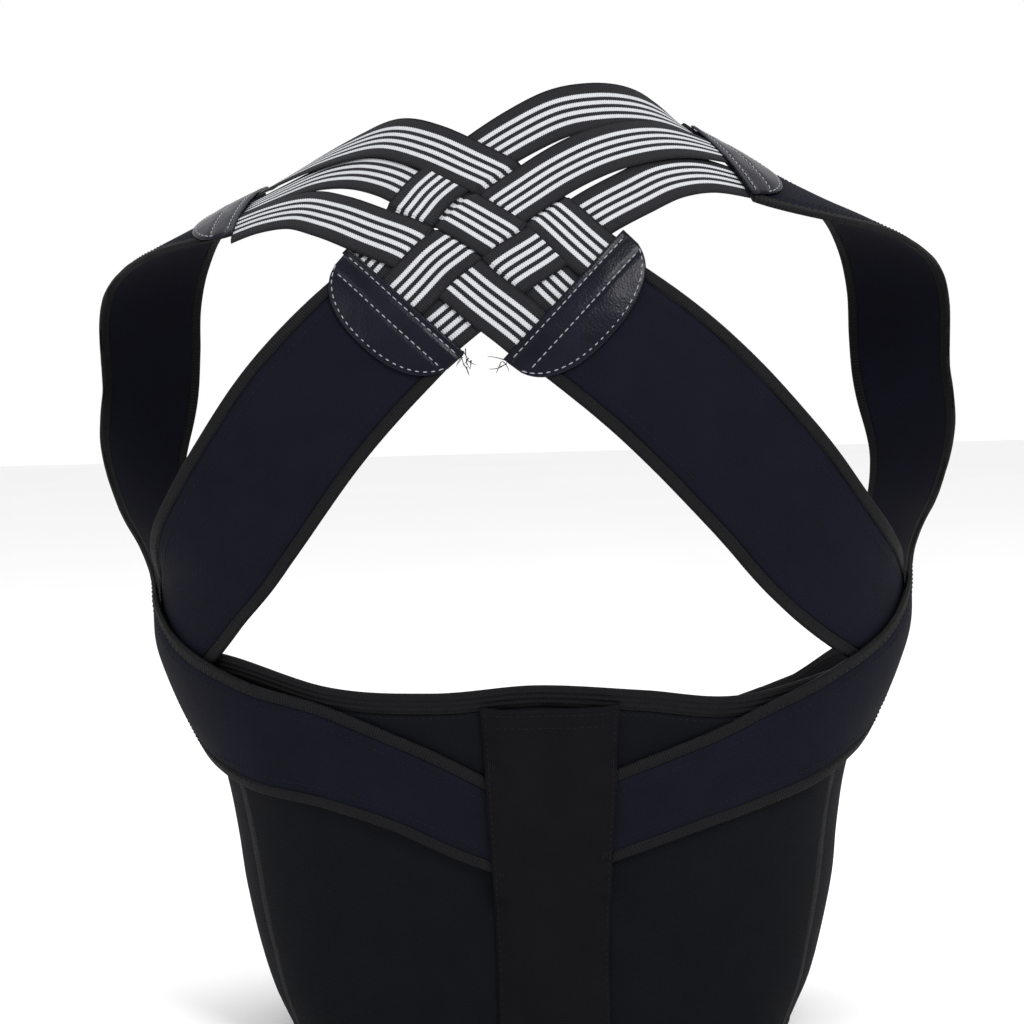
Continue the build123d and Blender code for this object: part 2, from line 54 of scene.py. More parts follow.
# The torso at each height: height, half width, depth behind the axis, depth in front of it.
TORSO = np.array([
    (-40, 112, 86, 94), (0, 119, 88, 98), (25, 130, 87, 99), (50, 137, 87, 101),
    (75, 142, 89, 103), (100, 145, 92, 106), (125, 149, 97, 110), (147, 155, 101, 113),
    (170, 166, 106, 117), (195, 175, 112, 121), (228, 179, 119, 124), (262, 204, 124, 124),
    (300, 222, 127, 116), (335, 228, 125, 104), (365, 213, 118, 88), (388, 175, 108, 74),
    (405, 140, 97, 63), (422, 108, 86, 56), (440, 79, 76, 52), (462, 60, 66, 50),
    (500, 57, 62, 50),
], float)
ROUNDNESS = 2.35

# Layers of cloth, counted outwards from the torso.
SKIN = 0.6
GAP = 0.7
BELT_THICK = 3.0
STRAP_THICK = 2.5
BINDING_THICK = 3.0
BAND_THICK = 1.1
PATCH_THICK = 1.3
HOOK_THICK = 0.9
SECOND_LAYER = SKIN + BELT_THICK + GAP
THIRD_LAYER = SECOND_LAYER + BINDING_THICK + GAP
PATCH_LAYER = 3.7
OVERLAP_LAYER = SECOND_LAYER + HOOK_THICK + 0.3

# Belt: heights of its upper edge by angle.
BELT_TOP = np.array([
    (-205, 133), (-180, 134), (-140, 142), (-120, 158), (-108, 180), (-85, 197), (-62, 197),
    (-45, 184), (-25, 181), (0, 184), (25, 180), (45, 175), (62, 183), (85, 193), (108, 180),
    (120, 158), (140, 142), (180, 134), (205, 133),
], float)
BELT_BOTTOM = np.array([(-205, 14), (-180, 12), (-108, 0), (108, 0), (180, 12), (205, 14)], float)
TRIM_HEIGHT = 10.0
TRIM_END = 102
TRIM_TAPER = 10
BINDING_WIDTH = 6.0
SIDE_SEAM = 72.0
FLAP_END = 201.0
FLAP_RISE = (128.0, 152.0)
FOLD_START = 101.0
FOLD_END = 115.0
HOOK_PAD_SPAN = (183.0, 199.0)
HOOK_PAD_INSET = 14.0

# Stay pocket in the middle of the back.
POCKET_MIDDLE = 5.5
POCKET_WIDTH = 57.0
POCKET_TOP = 175.0
POCKET_THICK = 1.6
STRAP_LOW = 76
STRAP_HIGH = 150
BACK_DEPTH = 95.0

# Elastic bands, numbered outwards from the neck, and where they cross.
BAND_WIDTH = [25.2, 25.6, 26.8, 27.6]
WEAVE_RISE = 1.7
WEAVE_TURN = 0.08
BANDS = {
    "left_band_1": [(38, -116, 372), (25, -110, 383), (10, -102, 397), (-8, -93, 411),
                    (-26, -86, 421), (-43, -76, 429), (-64, -61, 435), (-86, -44, 429),
                    (-106, -28, 420), (-124, -14, 410)],
    "left_band_2": [(24, -122, 354), (14, -119, 363), (6, -116, 371), (-5, -111, 382),
                    (-20, -105, 392), (-36, -98, 402), (-60, -83, 418), (-80, -69, 423),
                    (-97, -57, 420), (-114, -50, 413), (-130, -44, 404)],
    "left_band_3": [(10, -125, 334), (-4, -123, 347), (-19, -120, 359), (-36, -114, 373),
                    (-53, -108, 384), (-69, -102, 391), (-88, -91, 399), (-104, -80, 403),
                    (-121, -73, 401), (-133, -71, 397)],
    "right_band_1": [(-80, -110, 368), (-70, -108, 378), (-62, -105, 387), (-52, -100, 397),
                     (-43, -93, 407), (-28, -86, 418), (-13, -81, 428), (0, -78, 436),
                     (17, -73, 444), (36, -65, 447), (54, -50, 445), (78, -25, 440)],
    "right_band_2": [(-64, -119, 353), (-50, -116, 366), (-40, -113, 376), (-29, -110, 384),
                     (-10, -101, 399), (1, -96, 406), (16, -89, 415), (34, -82, 424),
                     (51, -74, 429), (70, -62, 431), (90, -48, 428)],
    "right_band_3": [(-48, -123, 339), (-33, -122, 351), (-21, -119, 360), (-9, -116, 370),
                     (8, -111, 380), (18, -108, 387), (32, -103, 397), (50, -94, 406),
                     (67, -84, 414), (84, -74, 416), (100, -66, 410)],
}
BAND_STRETCH = 15.0

# Cross straps, from under the lower patch round the side, on to the front panel and its tab.
CROSS_WIDTH = [67, 69, 68, 65, 60, 54, 50, 50]
CROSS_STRAPS = {
    "left": [(-64, -119, 347), (-97, -117, 314), (-131, -103, 269), (-158, -75, 230),
             (-174, -35, 202), (-171, 5, 177), "front"],
    "right": [(26, -124, 352), (65, -122, 319), (103, -111, 278), (138, -91, 235),
              (167, -48, 206), (171, 0, 178), "front"],
}
CROSS_FRONT = [(148, 48, 149), (128, 78, 131), (98, 98, 116), (76, 106, 107)]
CROSS_STRETCH = 14.0
TAB_SEAM = (128, 78, 131)
HOOKS_WIDTH = 40.0
HOOKS_INSET = (8.0, 4.0)
TAB_FOLD = 10.0

# Where the straps change layers: a height or a distance from the middle, and over how much.
CLIMB_ON_BELT = (238.0, 26.0)
CLIMB_ON_CROSS = (96.0, 34.0)
LEAVE_CROSS = (216.0, 36.0)

# Body straps, from the shoulder down the front, under the arm and round the ribs to the pocket.
BODY_WIDTH = [66, 64, 60, 58, 60, 64, 66, 58, 46, 42]
BODY_FRONT = [(184, 44, 352), (190, 60, 318), (197, 54, 282), (190, 38, 248), (181, 10, 216)]
BODY_STRAPS = {
    "left": [(-120, -46, 409), (-138, -38, 402), (-155, -16, 392), (-170, 14, 378), "front",
             (-168, -32, 181), (-141, -66, 163), (-95, -90, 149), (-60, -96, 136),
             (-27, -98, 119), (-6, -99, 110)],
    "right": [(90, -46, 429), (112, -49, 414), (134, -38, 404), (154, -14, 393), (170, 14, 378),
              "front", (168, -32, 182), (140, -68, 160), (100, -89, 142), (70, -93, 133),
              (38, -96, 122), (14, -98, 113)],
}
BODY_STRETCH = 26.0
POCKET_TUCK = {"left": 15.0, "right": 26.0}

# Leather patches: the straight edge of each, which the bands run under.
PATCHES = {
    "left_lower_patch": [(-79, -106, 382), (-54, -118, 359), (-28, -124, 335)],
    "right_lower_patch": [(-11, -125, 332), (17, -119, 360), (44, -107, 387)],
    "left_shoulder_patch": [(-120, -8, 411), (-127, -42, 404), (-134, -76, 391)],
    "right_shoulder_patch": [(105, -77, 403), (91, -46, 427), (80, -20, 438)],
}
PATCH_CORNER = 3.0
PATCH_DEPTH = 28.5
PATCH_POWER = 2.3
BAND_TUCK = 2.2
STRAP_TUCK = 3.0

FINE_ROWS = 260
SIDE_STEPS = 4
SIDES = (("left", -1), ("right", 1))

# Camera.
CAMERA_PLACE = (-9.0, -1300.0, 346.0)
CAMERA_PITCH = 4.0
CAMERA_ROLL = 1.5
PICTURE_WIDTH = 1024
FOCAL_PIXELS = 2626
SENSOR = 36.0


def smooth_curve(places, values, at):
    """Reads a smooth curve through the values at any places within its range."""
    at = np.clip(at, places[0], places[-1])
    k = np.clip(np.searchsorted(places, at) - 1, 0, len(places) - 2)
    span = places[k + 1] - places[k]
    t = (at - places[k]) / span
    m = np.gradient(values, places, axis=0)
    if values.ndim > 1:
        t, span = t[..., None], span[..., None]
    return ((2 * t**3 - 3 * t**2 + 1) * values[k] + (t**3 - 2 * t**2 + t) * span * m[k]
            + (3 * t**2 - 2 * t**3) * values[k + 1] + (t**3 - t**2) * span * m[k + 1])


def ease(t):
    """Rises smoothly from 0 to 1 as t does."""
    t = np.clip(t, 0, 1)
    return t * t * (3 - 2 * t)


def torso_depth(p):
    """Is 0 on the torso, negative inside it and positive outside."""
    sizes = smooth_curve(TORSO[:, 0], TORSO[:, 1:], p[..., 2])
    depth = np.where(p[..., 1] < 0, sizes[..., 1], sizes[..., 2])
    ring = (np.abs(p[..., 0]) / sizes[..., 0])**ROUNDNESS + (np.abs(p[..., 1]) / depth)**ROUNDNESS
    return ring**(1 / ROUNDNESS) - 1


def torso_slope(p, step=0.5):
    """Returns how fast the depth grows along each axis."""
    axes = np.eye(3) * step
    return np.stack([(torso_depth(p + a) - torso_depth(p - a)) / (2 * step) for a in axes], -1)


def outwards(p):
    """Returns the torso's unit normal at each point."""
    slope = torso_slope(p)
    return slope / np.linalg.norm(slope, axis=-1, keepdims=True)


def on_torso(p):
    """Moves each point on to the torso's surface."""
    p = np.array(p, float)
    for _ in range(6):
        slope = torso_slope(p)
        p = p - slope * (torso_depth(p) / (slope**2).sum(-1))[..., None]
    return p


def ring_point(angle, height):
    """Returns the torso's surface at an angle round the axis and a height."""
    turn = np.radians(angle)
    aim = np.stack([np.sin(turn), -np.cos(turn), 0 * turn], -1)
    level = np.stack([0 * turn, 0 * turn, height], -1)
    reach = 1 / (torso_depth(aim + level) + 1)
    return aim * reach[..., None] + level


def route_points(route, count):
    """Spaces points evenly along a smooth route on the torso, and gives their distances."""
    route = np.array(route, float)
    chords = np.concatenate([[0], np.cumsum(np.linalg.norm(np.diff(route, axis=0), axis=1))])
    line = on_torso(smooth_curve(chords, route, np.linspace(0, chords[-1], 400)))
    run = np.concatenate([[0], np.cumsum(np.linalg.norm(np.diff(line, axis=0), axis=1))])
    even = np.linspace(0, run[-1], count)
    points = np.stack([np.interp(even, run, line[:, i]) for i in range(3)], -1)
    return on_torso(points), even


def ribbon(route, left, right, across, count=FINE_ROWS):
    """Lays a ribbon along a route: at each point the place on the torso, the distance along the
    route and the distance from its middle."""
    middle, run = route_points(route, count)
    along = np.gradient(middle, run, axis=0)
    side = np.cross(along, outwards(middle))
    side /= np.linalg.norm(side, axis=-1, keepdims=True)
    share = run / run[-1]
    lines = []
    for part in np.linspace(0, 1, across):
        reach = part * right(share) - (1 - part) * left(share)
        line = middle
        for _ in range(SIDE_STEPS):
            line = on_torso(line + side * (reach / SIDE_STEPS)[:, None])
        lines.append(np.column_stack([line, run, reach]))
    return np.stack(lines, 1)


def stretched(route, before, after):
    """Lengthens a route straight on at its two ends."""
    route = [np.array(p, float) for p in route]
    first, last = route[0] - route[1], route[-1] - route[-2]
    route[0] = route[0] + first / np.linalg.norm(first) * before
    route[-1] = route[-1] + last / np.linalg.norm(last) * after
    return route


def row_at(place, value):
    """Finds the row, with its fraction, where each lengthwise line first reaches a place."""
    reached = place >= value
    after = np.where(reached.any(axis=0), np.argmax(reached, axis=0), len(place) - 1)
    before = np.maximum(after - 1, 0)
    lines = np.arange(place.shape[1])
    step = place[after, lines] - place[before, lines]
    return before + np.clip((value - place[before, lines]) / np.where(step == 0, 1, step), 0, 1)


def cut(grid, ends, pitch):
    """Keeps a ribbon between two rows of each line, with rows a pitch apart. Returns the places
    on the torso and the distances along and across."""
    first, last = ends
    middle = grid.shape[1] // 2
    per_row = grid[-1, middle, 3] / (len(grid) - 1)
    count = max(int(np.ptp([np.mean(first), np.mean(last)]) * per_row / pitch), 4)
    rows = first + (last - first) * np.linspace(0, 1, count)[:, None]
    rows = np.broadcast_to(rows, (count, grid.shape[1]))
    whole = np.clip(rows.astype(int), 0, len(grid) - 2)
    part = (rows - whole)[..., None]
    lines = np.arange(grid.shape[1])
    kept = grid[whole, lines] * (1 - part) + grid[whole + 1, lines] * part
    return kept[..., :3], kept[..., 3:]


def beyond(p, patch):
    """Returns how far past a patch's straight edge each point is, towards its half moon."""
    first, middle, last = on_torso(np.array(PATCHES[patch], float))
    aim = np.cross(last - first, outwards(middle))
    return (p[..., :3] - middle) @ (aim / np.linalg.norm(aim))


def panel(start, end, low, high, count, across):
    """Returns a grid of torso points between two angles, from a lower to an upper height."""
    angles = np.linspace(start, end, count)
    bottom, top = low(angles), high(angles)
    heights = bottom[:, None] + (top - bottom)[:, None] * np.linspace(0, 1, across)
    grid = ring_point(angles[:, None] + 0 * heights, heights)
    middle = grid[:, across // 2]
    run = np.concatenate([[0], np.cumsum(np.linalg.norm(np.diff(middle, axis=0), axis=1))])
    return grid, np.stack([run[:, None] + 0 * heights, heights], -1)


def widths(values):
    """Turns a list of widths into a half width at any share of the route."""
    values = np.array(values, float) / 2
    return lambda share: smooth_curve(np.linspace(0, 1, len(values)), values, share)


def steady(value):
    """Gives the same distance all along a route."""
    return lambda share: np.full_like(share, value)


def belt_top(angle):
    """Returns the height of the belt's upper edge at an angle."""
    return smooth_curve(BELT_TOP[:, 0], BELT_TOP[:, 1], angle)


def belt_bottom(angle):
    """Returns the height of the belt's lower edge at an angle."""
    return smooth_curve(BELT_BOTTOM[:, 0], BELT_BOTTOM[:, 1], angle)


def trim_height(angle):
    """The ribbed trim narrows to a plain binding in front."""
    taper = ease((np.abs(angle) - TRIM_END) / TRIM_TAPER)
    return TRIM_HEIGHT + (BINDING_WIDTH - TRIM_HEIGHT) * taper


def angle_of(p):
    """Returns the angle round the axis, in degrees from the middle of the back."""
    return np.degrees(np.arctan2(p[..., 0], -p[..., 1]))


def flap_rise(angle):
    """Returns how far the outer front panel stands off the belt's lane at an angle."""
    start, end = FLAP_RISE
    return (OVERLAP_LAYER - SKIN) * ease((angle - start) / (end - start))


def cross_lift(p):
    """A cross strap lies on the torso until it climbs over the belt's upper edge."""
    start, fall = CLIMB_ON_BELT
    return SKIN + (SECOND_LAYER - SKIN) * ease((start - p[..., 2]) / fall)


def body_lift(p):
    """A body strap climbs from the belt on to the cross strap, and comes off both in front."""
    start, spread = CLIMB_ON_CROSS
    lift = SECOND_LAYER + (THIRD_LAYER - SECOND_LAYER) * ease((np.abs(p[..., 0]) - start) / spread)
    start, spread = LEAVE_CROSS
    return lift + (SKIN - lift) * ease((p[..., 2] - start) / spread)


def whole_route(route, front, sign):
    """Puts the front part, which both sides share, into one side's route."""
    at = route.index("front")
    return route[:at] + [(x * sign, y, z) for x, y, z in front] + route[at + 1:]


def cross_route(side, sign):
    """Returns the whole route of a cross strap, with the part under its patch."""
    return stretched(whole_route(CROSS_STRAPS[side], CROSS_FRONT, sign), CROSS_STRETCH, 0)


def tab_lift(p):
    """A tab lies on the front panel under it."""
    angle = angle_of(p)
    return SECOND_LAYER + np.where(angle > 0, flap_rise(angle), 0)


# Meshes.

SEAM_THREAD = 0.26


def make_piece(name, points, faces, uv, material, body, nodes=()):
    """Makes one mesh piece from points in millimetres, hides the CAD parts it stands for, and
    attaches it to its body, or bakes it in place when the body is a hinge.
    """
    mesh = bpy.data.meshes.new(name)
    mesh.from_pydata((np.asarray(points) * MM).tolist(), [], faces)
    if uv is not None:
        layer = mesh.uv_layers.new(name="Cloth")
        loops = np.empty(len(mesh.loops), np.int32)
        mesh.loops.foreach_get("vertex_index", loops)
        layer.data.foreach_set("uv", (np.asarray(uv)[loops] * MM).astype(np.float32).ravel())
    mesh.validate()
    mesh.shade_smooth()
    mesh.materials.append(material)
    piece = bpy.data.objects.new(name, mesh)
    bpy.context.scene.collection.objects.link(piece)
    if nodes:
        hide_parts(*nodes)
    if isinstance(body, tuple):
        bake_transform(piece)
    else:
        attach(piece, body)
    return piece


def grid_faces(rows, columns, start, flip):
    """Returns the four-sided faces of a grid of points."""
    k = start + np.arange(rows * columns).reshape(rows, columns)
    quads = np.stack([k[:-1, :-1], k[1:, :-1], k[1:, 1:], k[:-1, 1:]], -1).reshape(-1, 4)
    return quads[:, ::-1].tolist() if flip else quads.tolist()


def cloth_sheet(name, base, flat, lift, outer, inner, look, body, nodes=()):
    """Makes a closed sheet whose outer and inner faces stand at heights over the torso."""
    normal = outwards(base)
    rows, columns = base.shape[:2]
    lift = np.broadcast_to(lift, (rows, columns))
    top = (base + normal * (lift + outer)[..., None]).reshape(-1, 3)
    under = (base + normal * (lift + inner)[..., None]).reshape(-1, 3)
    count = rows * columns
    faces = grid_faces(rows, columns, 0, False) + grid_faces(rows, columns, count, True)
    k = np.arange(count).reshape(rows, columns)
    rim = list(k[:, 0]) + list(k[-1, 1:]) + list(k[-2::-1, -1]) + list(k[0, -2:0:-1])
    rim = [int(v) for v in rim]
    for a, b in zip(rim, rim[1:] + rim[:1]):
        faces.append([a, a + count, b + count, b])
    uv = np.concatenate([flat.reshape(-1, 2)] * 2)
    piece = make_piece(name, np.concatenate([top, under]), faces, uv, look, body, nodes)
    return piece


def rounded(columns, edge=0.16, power=2.5):
    """The share of full thickness from edge to edge of a sheet with rounded edges."""
    place = np.abs(np.linspace(-1, 1, columns))
    return np.clip(1 - np.clip((place - 1 + edge) / edge, 0, 1)**power, 0, 1)**(1 / power)


def ripples(flat, size, height, seed):
    """Gentle unevenness of soft cloth, the same every time."""
    u, v = flat[..., 0] / size, flat[..., 1] / size
    total = np.sin(u * 1.3 + seed) * np.sin(v * 1.7 + seed * 2)
    total = total + 0.6 * np.sin(u * 2.9 + v * 2.1 + seed * 3)
    total = total + 0.35 * np.sin(u * 5.3 - v * 4.1 + seed * 5)
    return height * total / 1.95


def rows_of_stitches(name, lines, pitch, length, radius, look, body):
    """Makes thread stitches along lines on the torso: each is a bead that dips into the cloth."""
    rings, sides = 5, 6
    points, faces = [], []
    for line, lift in lines:
        normal = outwards(line)
        raised = line + normal * np.asarray(lift).reshape(-1, 1)
        run = np.concatenate([[0], np.cumsum(np.linalg.norm(np.diff(raised, axis=0), axis=1))])
        for start in np.arange(pitch * 0.3, run[-1] - length, pitch):
            at = start + length * np.linspace(0, 1, rings)
            spine = np.stack([np.interp(at, run, raised[:, i]) for i in range(3)], -1)
            up = np.stack([np.interp(at, run, normal[:, i]) for i in range(3)], -1)
            ahead = np.gradient(spine, axis=0)
            ahead /= np.linalg.norm(ahead, axis=1, keepdims=True)
            across = np.cross(ahead, up)
            bow = np.sin(np.pi * np.linspace(0.06, 0.94, rings))
            spine = spine + up * (radius * (1.7 * bow - 1.1))[:, None]
            fat = radius * (0.35 + 0.65 * bow)
            base = len(points)
            for i in range(rings):
                for k in range(sides):
                    turn = 2 * math.pi * k / sides
                    points.append(spine[i] + fat[i] * (math.cos(turn) * across[i]
                                                       + math.sin(turn) * up[i]))
            for i in range(rings - 1):
                for k in range(sides):
                    a, b = base + i * sides + k, base + i * sides + (k + 1) % sides
                    faces.append([a, b, b + sides, a + sides])
            faces.append([base + k for k in range(sides)][::-1])
            faces.append([base + (rings - 1) * sides + k for k in range(sides)])
    return make_piece(name, points, faces, None, look, body)


def line_beside(route, offset, ends):
    """Returns a line on the torso at a distance to the right of a route."""
    grid = ribbon(route, lambda s: -offset(s), offset, 2)
    places, _ = cut(grid, ends(grid), 1.5)
    return places[:, 0]


# Materials.

class Look:
    """Builds one node material on a Principled shader."""

    def __init__(self, name, colour, roughness, sheen=0.0, coat=0.0, specular=0.5):
        self.material = bpy.data.materials.new(name)
        self.material.use_nodes = True
        self.tree = self.material.node_tree
        self.shader = self.tree.nodes["Principled BSDF"]
        self.set("Base Color", (*colour, 1))
        self.set("Roughness", roughness)
        self.set("Sheen Weight", sheen)
        self.set("Sheen Roughness", 0.45)
        self.set("Coat Weight", coat)
        self.set("Coat Roughness", 0.22)
        self.set("Specular IOR Level", specular)

    def set(self, socket, value):
        self.shader.inputs[socket].default_value = value

    def node(self, kind, **values):
        made = self.tree.nodes.new(kind)
        for key, value in values.items():
            if hasattr(made, key):
                setattr(made, key, value)
            else:
                made.inputs[key.replace("_", " ").title()].default_value = value
        return made

    def link(self, source, target):
        self.tree.links.new(source, target)

    def math(self, operation, a, b=0.0):
        made = self.node("ShaderNodeMath", operation=operation)
        for socket, value in zip(made.inputs, (a, b)):
            if isinstance(value, (int, float)):
                socket.default_value = value
            else:
                self.link(value, socket)
        return made.outputs[0]

    def cloth_place(self):
        """The distance along the cloth and across it, in metres."""
        split = self.node("ShaderNodeSeparateXYZ")
        self.link(self.node("ShaderNodeUVMap", uv_map="Cloth").outputs[0], split.inputs[0])
        return split.outputs[0], split.outputs[1]

    def wave(self, place, period, sharp=1.0):
        """Swings between 0 and 1 every period of a distance."""
        turned = self.math("SINE", self.math("MULTIPLY", place, 2 * math.pi / period))
        swing = self.math("ADD", self.math("MULTIPLY", turned, 0.5), 0.5)
        return swing if sharp == 1.0 else self.math("POWER", swing, sharp)

    def noise(self, scale, detail=3.0):
        place = self.node("ShaderNodeTexCoord").outputs["Object"]
        made = self.node("ShaderNodeTexNoise")
        made.inputs["Scale"].default_value = scale
        made.inputs["Detail"].default_value = detail
        self.link(place, made.inputs["Vector"])
        return made.outputs["Fac"]

    def bump(self, height, distance, strength=1.0):
        made = self.node("ShaderNodeBump")
        made.inputs["Strength"].default_value = strength
        made.inputs["Distance"].default_value = distance
        self.link(height, made.inputs["Height"])
        self.link(made.outputs[0], self.shader.inputs["Normal"])

    def colours(self, factor, low, high, first=0.0, last=1.0):
        ramp = self.node("ShaderNodeValToRGB")
        ramp.color_ramp.elements[0].color = (*low, 1)
        ramp.color_ramp.elements[1].color = (*high, 1)
        ramp.color_ramp.elements[0].position = first
        ramp.color_ramp.elements[1].position = last
        self.link(factor, ramp.inputs[0])
        return ramp.outputs[0]

    def paint(self, colour):
        self.link(colour, self.shader.inputs["Base Color"])

    def rough(self, factor, low, high):
        spread = self.math("MULTIPLY", factor, high - low)
        self.link(self.math("ADD", spread, low), self.shader.inputs["Roughness"])


def knit_cloth(name, low, high, sheen, pitch=0.0011, depth=0.00012):
    """Matte knitted cloth over foam: fine columns of stitches and a faint cloudy tone."""
    look = Look(name, high, 0.8, sheen=sheen, specular=0.06)
    along, across = look.cloth_place()
    columns = look.wave(across, pitch)
    courses = look.wave(along, pitch * 0.8)
    weave = look.math("MULTIPLY", columns, courses)
    cloud = look.noise(55.0, 4.0)
    look.paint(look.colours(look.math("ADD", look.math("MULTIPLY", weave, 0.25), cloud),
                            low, high, 0.3, 0.95))
    look.rough(cloud, 0.72, 0.92)
    look.bump(look.math("ADD", weave, look.math("MULTIPLY", look.noise(900.0, 2.0), 0.7)), depth)
    return look.material


def ribbed_cloth(name, low, high, pitch, depth, sheen=0.2, lengthwise=False):
    """Binding tape or elastic with fine ribs across it or along it."""
    look = Look(name, high, 0.7, sheen=sheen, specular=0.1)
    along, across = look.cloth_place()
    ribs = look.wave(across if lengthwise else along, pitch)
    fine = look.wave(along if lengthwise else across, 0.0007)
    height = look.math("ADD", ribs, look.math("MULTIPLY", fine, 0.3))
    look.paint(look.colours(look.math("MULTIPLY", height, 0.77), low, high, 0.1, 0.95))
    look.rough(look.noise(300.0), 0.6, 0.8)
    look.bump(height, depth)
    return look.material


STRIPE_PITCH = 0.0042
STRIPE_COUNT = 4
STRIPE_SHARE = 0.52
KNIT_PITCH = 0.0011


def striped_elastic():
    """Black elastic with four white stripes whose edges step with the knit."""
    look = Look("striped_elastic", (0.6, 0.6, 0.6), 0.75, specular=0.12)
    along, across = look.cloth_place()
    ribs = look.wave(along, KNIT_PITCH)
    wander = look.math("MULTIPLY", look.math("SUBTRACT", ribs, 0.5), 0.00034)
    shifted = look.math("ADD", across, STRIPE_PITCH * STRIPE_COUNT / 2)
    place = look.math("DIVIDE", shifted, STRIPE_PITCH)
    middle = look.math("ABSOLUTE", look.math("SUBTRACT", look.math("FRACT", place), 0.5))
    edge = look.math("ADD", middle, look.math("DIVIDE", wander, STRIPE_PITCH))
    white = look.math("LESS_THAN", edge, STRIPE_SHARE / 2)
    inside = look.math("LESS_THAN", look.math("ABSOLUTE", across),
                       STRIPE_PITCH * STRIPE_COUNT / 2)
    stripe = look.math("MULTIPLY", white, inside)
    shade = look.math("ADD", look.math("MULTIPLY", ribs, 0.5), look.math("MULTIPLY",
                                                                        look.noise(700.0), 0.5))
    dark = look.colours(shade, (0.003, 0.003, 0.004), (0.014, 0.014, 0.016))
    pale = look.colours(shade, (0.27, 0.275, 0.29), (0.48, 0.49, 0.505))
    mix = look.node("ShaderNodeMix", data_type="RGBA")
    look.link(stripe, mix.inputs[0])
    look.link(dark, mix.inputs[6])
    look.link(pale, mix.inputs[7])
    look.paint(mix.outputs[2])
    raised = look.math("ADD", look.math("MULTIPLY", ribs, 0.8), look.math("MULTIPLY", stripe, 0.5))
    look.bump(raised, 0.00025)
    return look.material


def leather():
    """Glossy dark navy leather with a fine grain and softened folds."""
    look = Look("leather", (0.002, 0.002, 0.006), 0.3, coat=0.03, specular=0.1)
    place = look.node("ShaderNodeTexCoord").outputs["Object"]
    cells = look.node("ShaderNodeTexVoronoi")
    cells.inputs["Scale"].default_value = 900.0
    look.link(place, cells.inputs["Vector"])
    folds = look.noise(60.0, 5.0)
    grain = look.math("ADD", look.math("MULTIPLY", cells.outputs["Distance"], 0.5), folds)
    look.paint(look.colours(folds, (0.0012, 0.0012, 0.004), (0.003, 0.003, 0.009), 0.25, 0.8))
    look.rough(folds, 0.22, 0.4)
    look.bump(grain, 0.00025, 0.7)
    return look.material


def thread(name, colour):
    """Sewing thread with an uneven tone."""
    look = Look(name, colour, 0.7, specular=0.1)
    grain = look.noise(2500.0, 1.0)
    look.paint(look.colours(grain, tuple(0.55 * c for c in colour), colour, 0.3, 0.7))
    look.bump(grain, 0.0001)
    return look.material


def hook_tape():
    """Dark hook tape, covered in small hooks."""
    look = Look("hook_tape", (0.02, 0.02, 0.022), 0.6, specular=0.4)
    place = look.node("ShaderNodeTexCoord").outputs["Object"]
    dots = look.node("ShaderNodeTexVoronoi")
    dots.inputs["Scale"].default_value = 700.0
    look.link(place, dots.inputs["Vector"])
    look.paint(look.colours(dots.outputs["Distance"], (0.05, 0.05, 0.055), (0.01, 0.01, 0.012)))
    look.bump(look.math("SUBTRACT", 1.0, dots.outputs["Distance"]), 0.0006)
    return look.material


def brushed_steel():
    """Bare spring steel with a fine grain."""
    look = Look("spring_steel", (0.55, 0.56, 0.58), 0.35)
    look.set("Metallic", 1.0)
    grain = look.noise(1500.0, 2.0)
    look.paint(look.colours(grain, (0.45, 0.46, 0.48), (0.62, 0.63, 0.65)))
    look.bump(grain, 0.00005)
    return look.material


def tip_plastic():
    """White plastic with a fine grain."""
    look = Look("plastic_tips", (0.8, 0.8, 0.78), 0.45)
    grain = look.noise(800.0, 2.0)
    look.paint(look.colours(grain, (0.74, 0.74, 0.71), (0.84, 0.84, 0.82)))
    look.bump(grain, 0.00005)
    return look.material


def backdrop():
    """Plain pale paper for the floor."""
    look = Look("backdrop", (0.9, 0.9, 0.9), 0.9)
    look.paint(look.colours(look.noise(3.0), (0.86, 0.86, 0.86), (0.9, 0.9, 0.9)))
    return look.material


STRIPED = striped_elastic()
LEATHER = leather()
STRAP = knit_cloth("strap_cloth", (0.0025, 0.0026, 0.0055), (0.0045, 0.0048, 0.0105), 0.0)
BELT = knit_cloth("belt_cloth", (0.0018, 0.002, 0.003), (0.0034, 0.0037, 0.0055), 0.0)
POCKET = knit_cloth("pocket_cloth", (0.0022, 0.0019, 0.0024), (0.0042, 0.0036, 0.0046), 0.0, 0.0009)
BINDING = ribbed_cloth("binding", (0.0015, 0.0015, 0.002), (0.0055, 0.0055, 0.0065), 0.0012, 0.0002,
                       0.0)
RIBBED = ribbed_cloth("ribbed_elastic", (0.0015, 0.0015, 0.002), (0.005, 0.005, 0.006), 0.0009,
                      0.0002, 0.0)
# Painted glints: the patches' dark navy thread is painted pale grey to stand in for its light-grey
# glints.
GLINT_PAINTED_THREAD = thread("thread_painted_glint", (0.27, 0.28, 0.31))
DARK_THREAD = thread("dark_thread", (0.006, 0.0063, 0.008))
HOOKS = hook_tape()
STEEL = brushed_steel()
TIPS = tip_plastic()


# Elastic bands.

def crossings(name, lines):
    """Finds where the other side's three bands cross a band, and whether it passes over them."""
    points, run = lines[name]
    side, index = name.split("_band_")
    other = "right" if side == "left" else "left"
    found = []
    for k in (1, 2, 3):
        crossed = f"{other}_band_{k}"
        apart = np.linalg.norm(points[:, None] - lines[crossed][0][None], axis=-1).min(1)
        over = (int(index) + k) % 2 == 0
        found.append((run[apart.argmin()], over if side == "left" else not over, crossed))
    return sorted(found)


